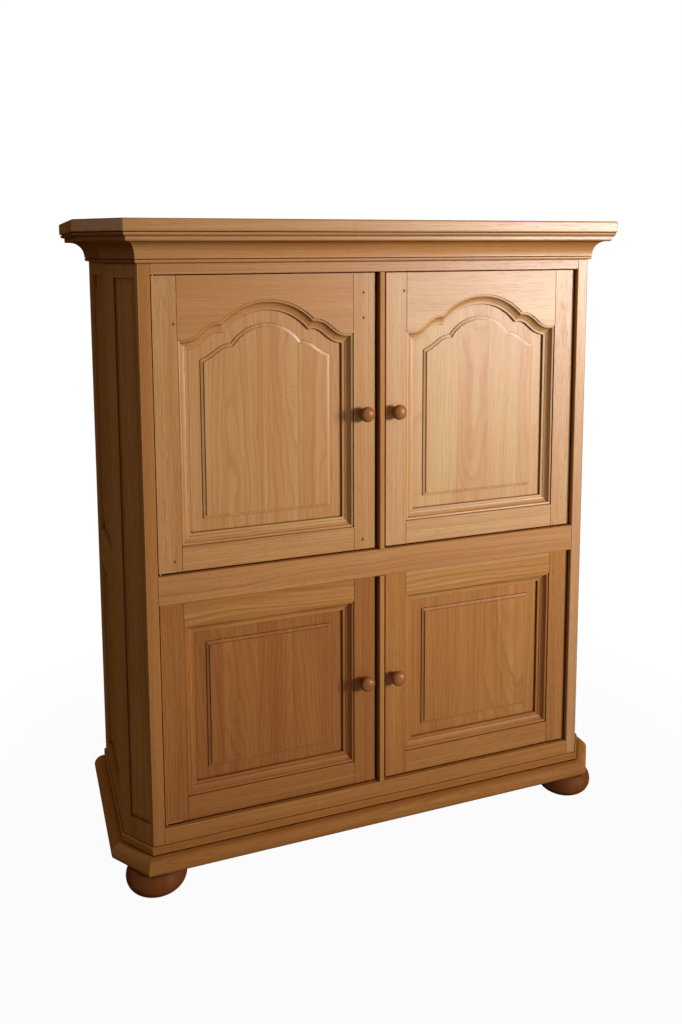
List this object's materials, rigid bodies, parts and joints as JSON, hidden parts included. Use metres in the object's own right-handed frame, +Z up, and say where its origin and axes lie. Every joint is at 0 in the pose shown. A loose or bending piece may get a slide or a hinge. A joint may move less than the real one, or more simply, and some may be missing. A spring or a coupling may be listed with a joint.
{
  "type": "linen press",
  "caption": "Tall oak linen press: arched fielded doors over square ones, canted front corners, coved cornice, moulded plinth, bun feet, shelves behind the doors.",
  "frame": {"origin": "on the floor, under the middle of the bounding box", "axes": "+Z up, -Y towards someone who faces the doors, +X to their right"},
  "size_m": [1.41, 0.552, 1.564],
  "materials": {
    "oak_frame": "waxed honey-brown oak",
    "oak_door": "waxed honey-brown oak",
    "oak_panel": "waxed honey-brown oak",
    "oak_moulding": "waxed honey-brown oak, slightly darker",
    "oak_turned": "waxed honey-brown oak, turned",
    "oak_inside": "plain unwaxed oak",
    "brass": "plain brass",
    "catch": "brown plastic"
  },
  "bodies": {
    "carcass": {"back_boards": "oak_inside", "bottom_board": "oak_inside", "bun_feet": "oak_moulding", "cant_board_left": "oak_frame", "cant_board_right": "oak_frame", "cant_panel_left": "oak_panel", "cant_panel_right": "oak_panel", "centre_posts": "oak_frame", "cornice_front": "oak_moulding", "cornice_left": "oak_moulding", "cornice_right": "oak_moulding", "divider_board": "oak_inside", "door_catches": "catch", "face_bottom_rail": "oak_frame", "face_mid_rail": "oak_frame", "face_stile_left": "oak_frame", "face_stile_right": "oak_frame", "face_top_rail": "oak_frame", "foot_blocks": "oak_inside", "hinge_plates": "brass", "plinth_front": "oak_moulding", "plinth_left": "oak_moulding", "plinth_right": "oak_moulding", "shelf_pins": "brass", "shelves": "oak_inside", "side_panels_left": "oak_panel", "side_panels_right": "oak_panel", "side_rails_left": "oak_frame", "side_rails_right": "oak_frame", "side_stiles_left": "oak_frame", "side_stiles_right": "oak_frame", "top_board": "oak_moulding"},
    "door_upper_left": {"door_upper_left_bottom_rail": "oak_door", "door_upper_left_fittings": "brass", "door_upper_left_hinge_stile": "oak_door", "door_upper_left_knob": "oak_turned", "door_upper_left_lock_stile": "oak_door", "door_upper_left_panel": "oak_panel", "door_upper_left_top_rail": "oak_door"},
    "door_upper_right": {"door_upper_right_bottom_rail": "oak_door", "door_upper_right_fittings": "brass", "door_upper_right_hinge_stile": "oak_door", "door_upper_right_knob": "oak_turned", "door_upper_right_lock_stile": "oak_door", "door_upper_right_panel": "oak_panel", "door_upper_right_top_rail": "oak_door"},
    "door_lower_left": {"door_lower_left_bottom_rail": "oak_door", "door_lower_left_fittings": "brass", "door_lower_left_hinge_stile": "oak_door", "door_lower_left_knob": "oak_turned", "door_lower_left_lock_stile": "oak_door", "door_lower_left_panel": "oak_panel", "door_lower_left_top_rail": "oak_door"},
    "door_lower_right": {"door_lower_right_bottom_rail": "oak_door", "door_lower_right_fittings": "brass", "door_lower_right_hinge_stile": "oak_door", "door_lower_right_knob": "oak_turned", "door_lower_right_lock_stile": "oak_door", "door_lower_right_panel": "oak_panel", "door_lower_right_top_rail": "oak_door"}
  },
  "joints": [
    {"name": "upper_left_door_hinge", "type": "hinge", "parent": "carcass", "child": "door_upper_left", "pos_m": [-0.541, -0.188, 0.7655], "axis": [0, 0, -1], "range_deg": [0, 95]},
    {"name": "upper_right_door_hinge", "type": "hinge", "parent": "carcass", "child": "door_upper_right", "pos_m": [0.541, -0.188, 0.7655], "axis": [0, 0, 1], "range_deg": [0, 95]},
    {"name": "lower_left_door_hinge", "type": "hinge", "parent": "carcass", "child": "door_lower_left", "pos_m": [-0.541, -0.188, 0.1575], "axis": [0, 0, -1], "range_deg": [0, 95]},
    {"name": "lower_right_door_hinge", "type": "hinge", "parent": "carcass", "child": "door_lower_right", "pos_m": [0.541, -0.188, 0.1575], "axis": [0, 0, 1], "range_deg": [0, 95]}
  ]
}
